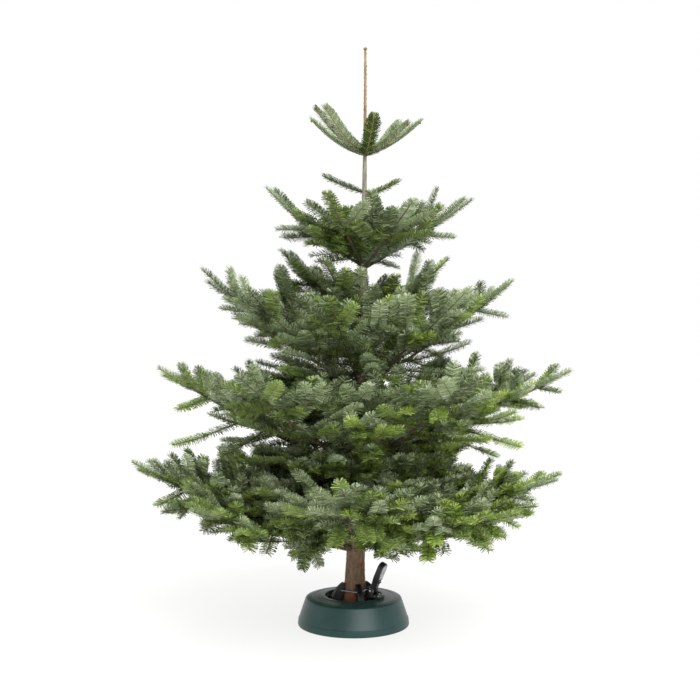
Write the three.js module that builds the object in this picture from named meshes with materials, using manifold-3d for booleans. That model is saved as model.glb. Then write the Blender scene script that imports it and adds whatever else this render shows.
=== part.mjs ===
// A cut fir Christmas tree, 1.85 m tall, clamped in a round moulded tree stand with a foot lever.
// Millimetres, +Z up. The origin is the middle of the stand's flat underside, on the floor,
// -Y is the front and the foot lever stands to the right of it.
import * as THREE from "three";
import { mergeVertices } from "three/addons/utils/BufferGeometryUtils.js";
import Module from "manifold-3d";

const wasm = await Module();
wasm.setup();

// ---------------------------------------------------------------- driving dimensions

const TREE_TOP = 1846;
const TRUNK_FOOT = 8.4; // the flat cut stands on the floor of the bowl
const TRUNK_LEAN = 38; // sideways, foot to tip
const TOUCH_GAP = 0.4; // between pieces that touch

// Height and radius of the stem at each change of its taper: root flare, bole, then one step a tier.
const STEM_STATIONS = [
  [TRUNK_FOOT, 40],
  [60, 38],
  [105, 34.5],
  [190, 30.2],
  [260, 29.4],
  [500, 24.5],
  [765, 19],
  [1145, 12.5],
  [1502, 8.5],
  [1530, 6],
  [1700, 4.6],
  [1822, 4],
  [1836, 6],
  [TREE_TOP, 2],
];

// Each tier is one year's whorl of boughs: its height on the stem, how far up the boughs start
// to rise (as a slope), how thick they are, where along them the needles begin (0 for at the stem),
// and for each bough its bearing in degrees from +X, its reach from the stem and its rise.
const TIERS = [
  {
    name: "tier2",
    height: 1140,
    slope: 0.55,
    bare: 0,
    depth: 42,
    boughs: [
      [4, 362, 224],
      [88, 330, 218],
      [178, 322, 252],
      [249, 315, 190],
      [299, 305, 178],
    ],
  },
  {
    name: "tier3",
    height: 758,
    slope: 0.5,
    bare: 0,
    depth: 58,
    boughs: [
      [2, 500, 336],
      [62, 470, 330],
      [124, 480, 330],
      [184, 513, 374],
      [220, 445, 300],
      [258, 430, 262],
      [314, 445, 280],
    ],
  },
  {
    name: "tier4",
    height: 492,
    slope: 0.42,
    bare: 0.26,
    limb: 10,
    depth: 60,
    boughs: [
      [356, 682, 312],
      [54, 640, 310],
      [116, 630, 300],
      [178, 655, 332],
      [240, 650, 310],
      [300, 640, 300],
    ],
  },
  {
    name: "tier5",
    height: 247,
    slope: 0.24,
    bare: 0.24,
    limb: 9,
    depth: 58,
    boughs: [
      [4, 676, 222],
      [58, 660, 240],
      [122, 670, 250],
      [182, 721, 281],
      [225, 650, 190],
      [267, 660, 262],
      [314, 650, 175],
    ],
  },
];

// The young shoots round the foot of the leader: bearing, reach and rise.
const TOP_WHORL_HEIGHT = 1500;
const TOP_SHOOTS = [
  [12, 194, 118],
  [48, 176, 132],
  [166, 188, 125],
  [197, 176, 136],
  [224, 182, 122],
  [279, 176, 94],
  [335, 160, 94],
];

// Two odd shoots half way down the bare length below that whorl: bearing, reach and rise.
const ODD_SHOOT_HEIGHT = 1372;
const ODD_SHOOTS = [
  [5, 122, 54],
  [176, 140, 58],
];

// Short boughs grow between the tiers and close up into a cup of needles round the stem:
// its height at the stem, its slope, its least and greatest reach and its half depth.
const INNER_MASSES = [
  { name: "inner_mass_2", height: 955, slope: 0.68, reach: [220, 290], depth: 42 },
  { name: "inner_mass_3", height: 622, slope: 0.5, reach: [310, 410], depth: 44 },
  { name: "inner_mass_4", height: 368, slope: 0.4, reach: [380, 500], depth: 48 },
];

const SHELL_FOOT_R = 177.5;
const SHELL_SHOULDER_R = 150;
const SHELL_HEIGHT = 92;
const SHELL_WALL = 4;
const MOUTH_R = 92;
const BOWL_FOOT_R = 76;
const BOWL_WALL = 4;
const BOWL_FLOOR = 8;

const JAW_BEARINGS = [15, 105, 195, 285];
const JAW_THICK = 18;
const JAW_TOP = 132;
const CABLE_R = 2;
const CABLE_HEIGHT = 109;
const CABLE_RING_R = 50;

const LEVER_BEARING = -30;
const PIVOT_R = 71;
const PIVOT_HEIGHT = 114;
const LEVER_LEAN = 24; // degrees from upright, outwards
const LEVER_LENGTH = 81; // pivot to the middle of the round head
const LEVER_THICK = 19;
const HUB_R = 8;
const PIN_R = 3;
const EAR_GAP = 30;
const DRUM_WIDTH = 24;
const DRUM_R = 51; // the winder's inner face, 10 mm in front of its pin's blade

// ---------------------------------------------------------------- materials

const plastic = (color, roughness) => new THREE.MeshStandardMaterial({ color, roughness, metalness: 0 });
const FINISHES = {
  bark: plastic(0x75604c, 0.9),
  foliage: plastic(0x4c6340, 0.85),
  shell: plastic(0x3f5a58, 0.5),
  black: plastic(0x17181a, 0.45),
  steel: new THREE.MeshStandardMaterial({ color: 0xb9bcc0, roughness: 0.35, metalness: 1 }),
};

// ---------------------------------------------------------------- shape tools

const radians = THREE.MathUtils.degToRad;
const UP = new THREE.Vector3(0, 0, 1);

// A closed geometry with only its positions, its shared vertices merged.
function bare(geometry) {
  const copy = geometry.clone();
  copy.deleteAttribute("normal");
  copy.deleteAttribute("uv");
  return mergeVertices(copy, 1e-3);
}

// The geometry with each of its vertices put through place(vector).
function reshape(geometry, place) {
  const made = bare(geometry);
  const position = made.attributes.position;
  const vertex = new THREE.Vector3();
  for (let i = 0; i < position.count; i++) {
    vertex.fromBufferAttribute(position, i);
    place(vertex);
    position.setXYZ(i, vertex.x, vertex.y, vertex.z);
  }
  return bare(made);
}

// A turned shape: outline points are (radius, height), and the axis becomes +Z.
function turned(outline, segments) {
  return bare(new THREE.LatheGeometry(outline, segments)).rotateX(Math.PI / 2);
}

function toSolid(geometry) {
  const g = bare(geometry);
  return new wasm.Manifold(
    new wasm.Mesh({
      numProp: 3,
      vertProperties: new Float32Array(g.attributes.position.array),
      triVerts: new Uint32Array(g.index.array),
    }),
  );
}

function toGeometry(solid) {
  const mesh = solid.getMesh();
  const made = new THREE.BufferGeometry();
  made.setAttribute("position", new THREE.BufferAttribute(mesh.vertProperties, 3));
  made.setIndex(new THREE.BufferAttribute(mesh.triVerts, 1));
  return made;
}

function part(name, geometry, finish, parent) {
  const mesh = new THREE.Mesh(geometry, FINISHES[finish]);
  mesh.name = name;
  parent.add(mesh);
  return mesh;
}

// A group turned so that its +X points outwards along a bearing round the upright axis at x.
function facing(bearing, x, parent) {
  const group = new THREE.Group();
  group.position.x = x;
  group.rotation.z = radians(bearing);
  parent.add(group);
  return group;
}

// ---------------------------------------------------------------- stem

// The stem leans to the right by less and less, and its top stands upright.
function stemX(height) {
  return TRUNK_LEAN * Math.sin((Math.PI / 2) * (height / TREE_TOP));
}

function stemRadius(height) {
  const above = STEM_STATIONS.findIndex(([z]) => z >= height);
  const [z1, r1] = STEM_STATIONS[Math.max(above, 1)];
  const [z0, r0] = STEM_STATIONS[Math.max(above, 1) - 1];
  return r0 + ((r1 - r0) * (height - z0)) / (z1 - z0);
}

function stem(extra = 0) {
  const rings = STEM_STATIONS.map(([z, r]) => new THREE.Vector2(r + extra, z));
  const outline = [new THREE.Vector2(0, TRUNK_FOOT), ...rings, new THREE.Vector2(0, TREE_TOP)];
  return reshape(turned(outline, 14), (v) => {
    v.x += stemX(v.z);
  });
}

const stemRoom = toSolid(stem(TOUCH_GAP));

// What grows from the stem starts inside it and is cut off at the bark.
function cutAtBark(geometry) {
  return toGeometry(toSolid(geometry).subtract(stemRoom));
}

// ---------------------------------------------------------------- boughs and masses of needles

// The line of a bough, from inside the stem out and up to its furthest tip.
function boughLine(tier, [bearing, reach, rise]) {
  const out = new THREE.Vector3(Math.cos(radians(bearing)), Math.sin(radians(bearing)), 0);
  const root = new THREE.Vector3(stemX(tier.height), 0, tier.height);
  const at = (r, z) => root.clone().addScaledVector(out, r).addScaledVector(UP, z);
  const start = stemRadius(tier.height) / 2;
  const middle = (start + reach) / 2;
  return new THREE.QuadraticBezierCurve3(at(start, 0), at(middle, (middle - start) * tier.slope), at(reach, rise));
}

// Where a bough's line is at a share of its length, with its own sideways and upward directions.
function frameAt(line, share) {
  const along = line.getTangent(share);
  const side = new THREE.Vector3().crossVectors(along, UP).normalize();
  return { point: line.getPoint(share), side, above: new THREE.Vector3().crossVectors(side, along) };
}

// A body that follows a bough from one share of its length to another. half(share) gives its half
// width, its half depth and how much deeper it hangs below the line than it stands above it, and
// wander(share, angle) how far in or out the surface lies.
function along(line, from, to, sides, steps, half, wander = () => 1) {
  const cylinder = new THREE.CylinderGeometry(1, 1, 1, sides, steps);
  return reshape(cylinder, (v) => {
    const share = from + (to - from) * (v.y + 0.5);
    const { point, side, above } = frameAt(line, share);
    const [wide, thick, sag = 1] = half(share);
    const factor = wander(share, Math.atan2(v.z, v.x));
    const across = v.x * wide * factor;
    const upwards = v.z * thick * factor * (v.z < 0 ? sag : 1);
    v.copy(point).addScaledVector(side, across).addScaledVector(above, upwards);
  });
}

// A limb tapers from its collar at the stem to where it enters its mass of needles.
function limb(line, radius, end) {
  return along(line, 0, end, 7, 4, (share) => {
    const r = radius * (share < 0.04 ? 1.12 : 1 - share);
    return [r, r];
  });
}

// The angle from each bearing to its nearest neighbour, in degrees.
function gapsBetween(bearings) {
  return bearings.map((bearing, i) => {
    const turns = bearings.filter((_, k) => k !== i).map((other) => Math.abs(other - bearing) % 360);
    return Math.min(...turns.map((turn) => Math.min(turn, 360 - turn)));
  });
}

// The most half width a mass may have at a share of its line and keep clear of its neighbours.
function roomBeside(line, gap, share) {
  const { x, y } = line.getPoint(share);
  const reach = Math.hypot(x - stemX(line.v0.z), y);
  return 0.83 * Math.tan(radians(Math.min(gap, 110) / 2)) * reach;
}

// A flat fan of sprays: narrow where it starts, widest past its middle, and lobed at its edge.
function fan(line, tier, gap, seed) {
  const from = tier.bare ? tier.bare + 0.002 : 0;
  const length = line.getLength();
  const half = (share) => {
    const t = (share - from) / (1 - from);
    const swell = Math.sin(Math.PI * t ** 0.8) ** 0.7;
    const wide = Math.min(0.3 * length * swell + 9, roomBeside(line, gap, share));
    return [wide, 3 + tier.depth * Math.sin(Math.PI * (0.06 + 0.94 * t)) ** 0.6, 1 + 0.6 * Math.sin(Math.PI * t)];
  };
  const lobes = (share, angle) => 0.92 + 0.08 * Math.sin(17 * share + 2 * angle + seed);
  return along(line, from, 1, 8, 7, half, lobes);
}

function tierOfBoughs(tier, parent) {
  const gaps = gapsBetween(tier.boughs.map(([bearing]) => bearing));
  tier.boughs.forEach((bough, i) => {
    const line = boughLine(tier, bough);
    const spray = fan(line, tier, gaps[i], i * 1.7);
    if (tier.bare) part(`${tier.name}_bough_${i + 1}`, cutAtBark(limb(line, tier.limb, tier.bare)), "bark", parent);
    part(`${tier.name}_spray_${i + 1}`, tier.bare ? spray : cutAtBark(spray), "foliage", parent);
  });
}

// Shoots straight from the leader are slim brushes of needles with nothing growing from them.
function whorlOfShoots(name, height, halfWidth, shoots, parent) {
  const gaps = gapsBetween(shoots.map(([bearing]) => bearing));
  shoots.forEach((shoot, i) => {
    const line = boughLine({ height, slope: 0.5 }, shoot);
    const brush = along(line, 0, 1, 8, 5, (share) => {
      const swell = Math.min(1, 0.2 + 3.2 * share, 0.35 + 4 * (1 - share));
      return [Math.min(halfWidth * swell, roomBeside(line, gaps[i], share)), 0.75 * halfWidth * swell];
    });
    part(`${name}_${i + 1}`, cutAtBark(brush), "foliage", parent);
  });
}

// A cup of short boughs between two tiers: a flattened ring round the stem, with a ragged rim.
function innerMass({ name, height, slope, reach, depth }, parent) {
  const ring = new THREE.TorusGeometry(2, 1, 8, 20);
  const made = reshape(ring, (v) => {
    const bearing = Math.atan2(v.y, v.x);
    const fromMiddle = (Math.hypot(v.x, v.y) - 2 + 1) / 2;
    const rim = reach[0] + (reach[1] - reach[0]) * (0.5 + 0.5 * Math.sin(5 * bearing + height));
    const hole = stemRadius(height) + 3;
    const r = hole + (rim - hole) * fromMiddle;
    v.z = height + slope * (r - hole) + v.z * depth;
    v.x = stemX(height) + r * Math.cos(bearing);
    v.y = r * Math.sin(bearing);
  });
  part(name, made, "foliage", parent);
}

// ---------------------------------------------------------------- stand

// The moulded shell: a leaning skirt, a rounded shoulder, a flat top and a lip turned down round
// the mouth. The outline runs up the outside and back down the inside.
function shell() {
  const outline = new THREE.Path();
  outline.moveTo(SHELL_FOOT_R - SHELL_WALL, 0);
  outline.lineTo(SHELL_FOOT_R - 2, 0);
  outline.quadraticCurveTo(SHELL_FOOT_R, 0, SHELL_FOOT_R - 0.5, 4);
  outline.lineTo(SHELL_SHOULDER_R + 3, SHELL_HEIGHT - 12);
  outline.quadraticCurveTo(SHELL_SHOULDER_R, SHELL_HEIGHT - 5, SHELL_SHOULDER_R - 8, SHELL_HEIGHT - 4);
  outline.lineTo(MOUTH_R + 4, SHELL_HEIGHT);
  outline.quadraticCurveTo(MOUTH_R, SHELL_HEIGHT, MOUTH_R - 1, SHELL_HEIGHT - 4);
  outline.lineTo(MOUTH_R - 1, SHELL_HEIGHT - 18);
  outline.lineTo(MOUTH_R + 2, SHELL_HEIGHT - 18);
  outline.lineTo(MOUTH_R + 4, SHELL_HEIGHT - SHELL_WALL);
  outline.lineTo(SHELL_SHOULDER_R - 8, SHELL_HEIGHT - 4 - SHELL_WALL);
  outline.lineTo(SHELL_FOOT_R - SHELL_WALL, 0);
  return turned(outline.getPoints(2), 38);
}

// The black water bowl inside, whose flat underside stands on the floor.
function bowl() {
  const outline = new THREE.Path();
  outline.moveTo(0, 0);
  outline.lineTo(BOWL_FOOT_R, 0);
  outline.lineTo(BOWL_FOOT_R + 2, 3);
  outline.lineTo(MOUTH_R - 2, SHELL_HEIGHT - 8);
  outline.lineTo(MOUTH_R - 2 - BOWL_WALL, SHELL_HEIGHT - 8);
  outline.lineTo(BOWL_FOOT_R + 2 - BOWL_WALL, BOWL_FLOOR + 3);
  outline.lineTo(BOWL_FOOT_R - BOWL_WALL - 1, BOWL_FLOOR);
  outline.lineTo(0, BOWL_FLOOR);
  return turned(outline.getPoints(), 28);
}

// The clamp cable: out of the winder, round through the four jaws and back into it.
function cableLine() {
  const away = (bearing, r, z) =>
    new THREE.Vector3(stemX(z) + r * Math.cos(radians(bearing)), r * Math.sin(radians(bearing)), z);
  const winder = (y) =>
    new THREE.Vector3(DRUM_R + 5, y, CABLE_HEIGHT + 8).applyAxisAngle(UP, radians(LEVER_BEARING));
  const jawCorners = JAW_BEARINGS.flatMap((bearing) => [
    away(bearing - 8, CABLE_RING_R, CABLE_HEIGHT),
    away(bearing + 8, CABLE_RING_R, CABLE_HEIGHT),
  ]);
  const mouth = DRUM_WIDTH / 2 + TOUCH_GAP;
  const line = [winder(mouth), winder(mouth + 6), ...jawCorners, winder(-mouth - 6), winder(-mouth)];
  return new THREE.CatmullRomCurve3(line, false, "catmullrom", 0.1);
}

function cable(radius) {
  const section = new THREE.Shape().absarc(0, 0, radius, 0, 2 * Math.PI);
  return new THREE.ExtrudeGeometry(section, {
    steps: 36,
    curveSegments: 3,
    bevelEnabled: false,
    extrudePath: cableLine(),
  });
}

// A claw cut from thick plate: its heel in the bowl, its nose on the bark, the cable through it.
function jaw(bearing, parent) {
  const nose = stemRadius(125) + 1.2;
  const claw = new THREE.Shape();
  claw.moveTo(73, 58);
  claw.lineTo(76, 88);
  claw.quadraticCurveTo(66, 112, 50, JAW_TOP - 7);
  claw.quadraticCurveTo(43, JAW_TOP, nose, JAW_TOP);
  claw.lineTo(nose + 0.6, 112);
  claw.quadraticCurveTo(nose + 6, 84, 60, 50);
  const plate = new THREE.ExtrudeGeometry(claw, { depth: JAW_THICK, bevelEnabled: false, curveSegments: 4 });
  plate.translate(0, 0, -JAW_THICK / 2).rotateX(Math.PI / 2);
  plate.rotateZ(radians(bearing)).translate(stemX(JAW_TOP), 0, 0);
  const made = toSolid(plate).subtract(toSolid(cable(CABLE_R + TOUCH_GAP)));
  part(`stand_jaw_${JAW_BEARINGS.indexOf(bearing) + 1}`, toGeometry(made), "black", parent);
}

function box(x0, x1, y0, y1, z0, z1) {
  return new THREE.BoxGeometry(x1 - x0, y1 - y0, z1 - z0).translate((x0 + x1) / 2, (y0 + y1) / 2, (z0 + z1) / 2);
}

function pin(radius, length) {
  return new THREE.CylinderGeometry(radius, radius, length, 14);
}

// The cable winder, bracketed off the rim over the mouth: a block that takes in the cable, and two
// ears for the lever's pin.
function winder() {
  const base = toSolid(box(DRUM_R, 104, -20, 20, SHELL_HEIGHT + TOUCH_GAP, SHELL_HEIGHT + 7));
  const drum = toSolid(box(DRUM_R, DRUM_R + 10, -DRUM_WIDTH / 2, DRUM_WIDTH / 2, SHELL_HEIGHT + 5, PIVOT_HEIGHT + 8));
  const ears = [1, -1].map((side) => {
    const inner = (side * EAR_GAP) / 2;
    const outer = side * 20;
    return toSolid(
      box(PIVOT_R - 8, PIVOT_R + 8, Math.min(inner, outer), Math.max(inner, outer), SHELL_HEIGHT + 5, PIVOT_HEIGHT + 8),
    );
  });
  const hole = toSolid(pin(PIN_R + TOUCH_GAP, 60).translate(PIVOT_R, 0, PIVOT_HEIGHT));
  return toGeometry(base.add(drum).add(ears[0]).add(ears[1]).subtract(hole));
}

// The foot lever about its own pin: a hub, a neck and a round-ended pedal.
function lever() {
  const pedal = new THREE.Shape();
  pedal.moveTo(-11, 0);
  pedal.lineTo(11, 0);
  pedal.lineTo(12, 26);
  pedal.quadraticCurveTo(13, 36, 17, 46);
  pedal.lineTo(17.5, LEVER_LENGTH);
  pedal.absarc(0, LEVER_LENGTH, 17.5, 0, Math.PI);
  pedal.lineTo(-17, 46);
  pedal.quadraticCurveTo(-13, 36, -12, 26);
  const blade = new THREE.ExtrudeGeometry(pedal, { depth: LEVER_THICK, bevelEnabled: false, curveSegments: 5 });
  // The outline's X and Y become sideways and upwards, and its thickness outwards.
  blade.applyMatrix4(new THREE.Matrix4().makeBasis(new THREE.Vector3(0, 1, 0), UP, new THREE.Vector3(1, 0, 0)));
  blade.translate(-LEVER_THICK / 2, 0, 0);
  const hub = toSolid(pin(HUB_R, EAR_GAP - 2));
  return toGeometry(toSolid(blade).add(hub).add(toSolid(pin(PIN_R, 40))));
}

// ---------------------------------------------------------------- the whole tree in its stand

const tree = new THREE.Group();

part("trunk", stem(), "bark", tree);
whorlOfShoots("top_shoot", TOP_WHORL_HEIGHT, 19, TOP_SHOOTS, tree);
whorlOfShoots("odd_shoot", ODD_SHOOT_HEIGHT, 13, ODD_SHOOTS, tree);
TIERS.forEach((tier) => tierOfBoughs(tier, tree));
INNER_MASSES.forEach((mass) => innerMass(mass, tree));

part("stand_shell", shell(), "shell", tree);
part("stand_bowl", bowl(), "black", tree);
part("stand_cable", cable(CABLE_R), "steel", tree);
JAW_BEARINGS.forEach((bearing) => jaw(bearing, tree));

const leverSide = facing(LEVER_BEARING, 0, tree);
part("stand_winder", winder(), "black", leverSide);
const leverMesh = part("stand_lever", lever(), "black", leverSide);
leverMesh.position.set(PIVOT_R, 0, PIVOT_HEIGHT);
leverMesh.rotation.y = radians(LEVER_LEAN);

export default tree;
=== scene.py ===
# A cut fir Christmas tree, 1.85 m tall, clamped in a round moulded stand with a foot lever.
import math

import bpy
import numpy as np
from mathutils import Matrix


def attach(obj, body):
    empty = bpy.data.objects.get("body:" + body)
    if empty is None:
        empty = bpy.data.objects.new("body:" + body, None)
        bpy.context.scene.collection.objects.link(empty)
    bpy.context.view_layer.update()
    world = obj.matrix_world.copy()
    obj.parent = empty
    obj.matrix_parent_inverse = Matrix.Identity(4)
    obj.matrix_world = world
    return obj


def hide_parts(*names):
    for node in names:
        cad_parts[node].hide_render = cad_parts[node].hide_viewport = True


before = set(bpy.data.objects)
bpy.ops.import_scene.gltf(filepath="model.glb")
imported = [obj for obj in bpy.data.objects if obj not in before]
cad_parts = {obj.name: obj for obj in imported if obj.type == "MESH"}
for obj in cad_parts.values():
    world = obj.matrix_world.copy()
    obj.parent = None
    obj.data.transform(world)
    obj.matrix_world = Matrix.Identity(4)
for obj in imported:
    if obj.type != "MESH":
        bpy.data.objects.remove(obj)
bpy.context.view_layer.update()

# ------ stand: shell
# The outer shell is one injection moulding in dark green polypropylene: a leaning skirt on the
# floor, a rounded shoulder, a nearly flat top and a lip turned down round the mouth.

SHELL_GREENS = ("#193A38", "#153432", "#1C3F3D")
SHELL_SIDES = 180


def linear(hex_colour):
    """An sRGB hex colour as linear red, green, blue and an alpha of one."""
    s = np.array([int(hex_colour[i : i + 2], 16) for i in (1, 3, 5)]) / 255
    return (*np.where(s < 0.04045, s / 12.92, ((s + 0.055) / 1.055) ** 2.4).tolist(), 1.0)


def finish(name, colour, **shader):
    """A material whose Principled shader has plain settings; returns it, its tree and its shader."""
    made = bpy.data.materials.new(name)
    made.use_nodes = True
    shader_node = made.node_tree.nodes["Principled BSDF"]
    shader_node.inputs["Base Color"].default_value = linear(colour)
    for socket, value in shader.items():
        shader_node.inputs[socket.replace("_", " ")].default_value = value
    return made, made.node_tree, shader_node


def add(tree, kind, inputs, to=None, **settings):
    """One node with its settings; each input is given a value, or an output to be linked from,
    and the node's first output may be linked to a socket."""
    made = tree.nodes.new(kind)
    for setting, value in settings.items():
        setattr(made, setting, value)
    for socket, value in inputs.items():
        if isinstance(value, bpy.types.NodeSocket):
            tree.links.new(value, made.inputs[socket])
        else:
            made.inputs[socket].default_value = value
    if to:
        tree.links.new(made.outputs[0], to)
    return made


def mottled(name, colours, per_metre, detail, ends=(0, 1), **shader):
    """A finish whose colour drifts from a dark to a light shade in patches of one size; colours
    are its middle, dark and light shades. Returns its coordinates as well."""
    made, tree, shader_node = finish(name, colours[0], **shader)
    place = add(tree, "ShaderNodeTexCoord", {}).outputs["Object"]
    patches = add(tree, "ShaderNodeTexNoise", {"Vector": place, "Scale": per_metre, "Detail": detail})
    patches = {"Fac": patches.outputs["Fac"]}
    ramp = add(tree, "ShaderNodeValToRGB", patches, shader_node.inputs["Base Color"]).color_ramp
    for element, colour, position in zip(ramp.elements, colours[1:], ends):
        element.color, element.position = linear(colour), position
    return made, tree, shader_node, place


def in_scene(name, data):
    """An object with this data, in the scene."""
    made = bpy.data.objects.new(name, data)
    bpy.context.scene.collection.objects.link(made)
    return made


def make_piece(name, points, faces, materials, which=None, smooth=True):
    """An object from an array of points and lists or arrays of faces, in one or more materials."""
    mesh = bpy.data.meshes.new(name)
    faces = faces if isinstance(faces, list) else faces.tolist()
    mesh.from_pydata(np.asarray(points, float).tolist(), [], faces)
    for material in materials:
        mesh.materials.append(material)
    mesh.polygons.foreach_set("use_smooth", np.full(len(mesh.polygons), smooth))
    if which is not None:
        mesh.polygons.foreach_set("material_index", np.asarray(which, np.int32))
    mesh.update()
    return in_scene(name, mesh)


def curve(t, start, knee, end):
    """The quadratic curve at shares t: (1 - t)^2 start + 2 t (1 - t) knee + t^2 end."""
    return (1 - t) ** 2 * start + 2 * t * (1 - t) * knee + t**2 * end


def rounded(corners, steps=5):
    """A closed outline whose corners (x, y, radius) are replaced by arcs.

    Each arc leaves its two edges at radius / tan(half the angle between them) from the corner,
    and before the middle of either, and is a quadratic curve with its knee at the corner."""
    corners = np.asarray(corners, float)
    xy, radius = corners[:, :2], corners[:, 2]
    before = np.roll(xy, 1, 0) - xy
    after = np.roll(xy, -1, 0) - xy
    long_before = np.linalg.norm(before, axis=1)
    long_after = np.linalg.norm(after, axis=1)
    cosine = np.sum(before * after, 1) / (long_before * long_after)
    half = np.arccos(np.clip(cosine, -1, 1)) / 2
    back = np.minimum(radius / np.tan(half), 0.49 * np.minimum(long_before, long_after))
    first = xy + before * (back / long_before)[:, None]
    last = xy + after * (back / long_after)[:, None]
    t = np.linspace(0, 1, steps)[None, :, None]
    return curve(t, first[:, None], xy[:, None], last[:, None]).reshape(-1, 2)


def grid_faces(rows, columns, wrap_rows=False):
    """Quads between neighbouring points of a grid, numbered row by row; each row is a ring."""
    r = np.arange(rows if wrap_rows else rows - 1)[:, None]
    c = np.arange(columns)[None, :]
    r1, c1 = (r + 1) % rows, (c + 1) % columns
    corners = (r * columns + c, r * columns + c1, r1 * columns + c1, r1 * columns + c)
    return np.stack(np.broadcast_arrays(*corners), -1).reshape(-1, 4)


def turned(name, outline, sides, materials):
    """A lathe shape: a closed outline of (radius, height) in millimetres carried round +Z.

    Point (i, j) is (radius_i cos a_j, radius_i sin a_j, height_i), a_j going once round."""
    r, z = np.asarray(outline).T / 1000
    a = np.linspace(0, 2 * np.pi, sides, endpoint=False)
    ring = np.stack([r[:, None] * np.cos(a), r[:, None] * np.sin(a), z[:, None] + 0 * a], -1)
    return make_piece(name, ring.reshape(-1, 3), grid_faces(len(r), sides, wrap_rows=True), materials)


# Moulded polypropylene: a soft satin skin with a fine spark-eroded grain, drawn at 0.9 mm, and
# a faint cloudiness where the melt flowed.
gloss = {"Roughness": 0.37, "IOR": 1.49, "Specular_IOR_Level": 0.4}
polypropylene, tree, shader, place = mottled(
    "moulded polypropylene green", SHELL_GREENS, 14.0, 3.0, (0.3, 0.72), **gloss
)
grain = add(tree, "ShaderNodeTexNoise", {"Vector": place, "Scale": 1100.0, "Detail": 2.0})
relief = {"Height": grain.outputs["Fac"], "Strength": 0.10, "Distance": 0.0003}
add(tree, "ShaderNodeBump", relief, shader.inputs["Normal"])

# Radius, height and the radius of each corner, in millimetres, from the foot round to the inside.
shell_outline = rounded([
    (173.2, 0, 0.4), (176.6, 0, 1.6), (177.5, 3.5, 1.5), (175.6, 20, 0.5), (174.4, 20.6, 0.4),
    (152.5, 84.5, 8), (131, 88.2, 3), (129.5, 87.4, 1), (104, 90.4, 1), (102.5, 91.8, 1),
    (91, 92, 2.6), (90.6, 73, 0.8), (92.4, 73, 0.5), (94, 88, 2), (148.5, 81, 5), (171, 18, 1),
])
shell = turned("stand_shell_moulding", shell_outline[::-1], SHELL_SIDES, [polypropylene])
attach(shell, "tree")
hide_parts("stand_shell")

# ------ stand: bowl
# The water bowl is a second moulding, in black polypropylene, pressed up into the shell. Ribs
# stiffen its wall, and the flat cut of the trunk stands on its floor.

BOWL_SIDES = 120
RIB_COUNT, RIB_HALF = 16, 1.1

# The same plastic coloured through with soot: a duller, coarser grain, rubbed smooth in places.
black, tree, shader = finish("moulded polypropylene black", "#1B1C1E", Roughness=0.42, IOR=1.49)
place = add(tree, "ShaderNodeTexCoord", {}).outputs["Object"]
grain = add(tree, "ShaderNodeTexNoise", {"Vector": place, "Scale": 900.0, "Detail": 2.0})
relief = {"Height": grain.outputs["Fac"], "Strength": 0.15, "Distance": 0.0004}
add(tree, "ShaderNodeBump", relief, shader.inputs["Normal"])
wear = add(tree, "ShaderNodeTexNoise", {"Vector": place, "Scale": 60.0, "Detail": 4.0})
worn = {"Value": wear.outputs["Fac"], "To Min": 0.34, "To Max": 0.55}
add(tree, "ShaderNodeMapRange", worn, shader.inputs["Roughness"])

bowl_outline = rounded([
    (0.4, 0, 0.1), (76, 0, 1.5), (78, 3, 1.5), (89.8, 83.8, 0.8),
    (86, 83.8, 0.8), (74.4, 12, 4), (70, 8, 3), (0.4, 8, 0.1),
])


def turn_about(points, bearing, centre=(0.0, 0.0)):
    """Points turned by a bearing in degrees about an upright axis at centre."""
    c, s = math.cos(math.radians(bearing)), math.sin(math.radians(bearing))
    x, y, z = np.asarray(points, float).T
    return np.stack([centre[0] + c * x - s * y, centre[1] + s * x + c * y, z], 1)


def laid(order, bearing, centre=(0.0, 0.0)):
    """A way to lay a plate on a bearing: order says which of u, v and w (its thickness) runs out
    along the bearing, which across it and which up."""

    def lay(*uvw):
        xyz = [uvw["uvw".index(axis)] for axis in order]
        return turn_about(np.stack(xyz, 1) / 1000, bearing, centre)

    return lay


def tube_faces(rings, sides, flip=False):
    """Faces of a closed tube of rings of points: its sides, and one flat face over each end."""
    last_ring = (rings - 1) * sides
    faces = grid_faces(rings, sides).tolist()
    faces += [list(range(sides))[::-1], list(range(last_ring, last_ring + sides))]
    return [f[::-1] for f in faces] if flip else faces


def plate(outline, low, high, edge, lay, material=0):
    """A closed plate cut to an outline (u, v) between two levels, its rims rounded by edge.

    The outline is drawn in by edge (1 - cos t) and its level goes in by edge (1 - sin t) from
    each face, t going from 0 to a right angle; lay(u, v, w) puts the points in place. Returns
    its points, its faces and the number of its material."""
    outline = np.asarray(outline, float)
    ahead = np.roll(outline, -1, 0) - np.roll(outline, 1, 0)
    outward = np.stack([ahead[:, 1], -ahead[:, 0]], 1)
    outward /= np.maximum(np.linalg.norm(outward, axis=1, keepdims=True), 1e-9)
    following = np.roll(outline, -1, 0)
    area = np.sum(outline[:, 0] * following[:, 1] - outline[:, 1] * following[:, 0])
    outward *= math.copysign(1, area)
    t = np.linspace(0, math.pi / 2, 4)
    inset = np.concatenate([edge * (1 - np.sin(t)), edge * (1 - np.sin(t[::-1]))])
    level = np.concatenate([low + edge * (1 - np.cos(t)), high - edge * (1 - np.cos(t[::-1]))])
    ring = outline[None] - outward[None] * inset[:, None, None]
    w = np.broadcast_to(level[:, None], ring.shape[:2])
    points = lay(ring[..., 0].ravel(), ring[..., 1].ravel(), w.ravel())
    return points, tube_faces(len(level), len(outline), flip=area < 0), material


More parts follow.
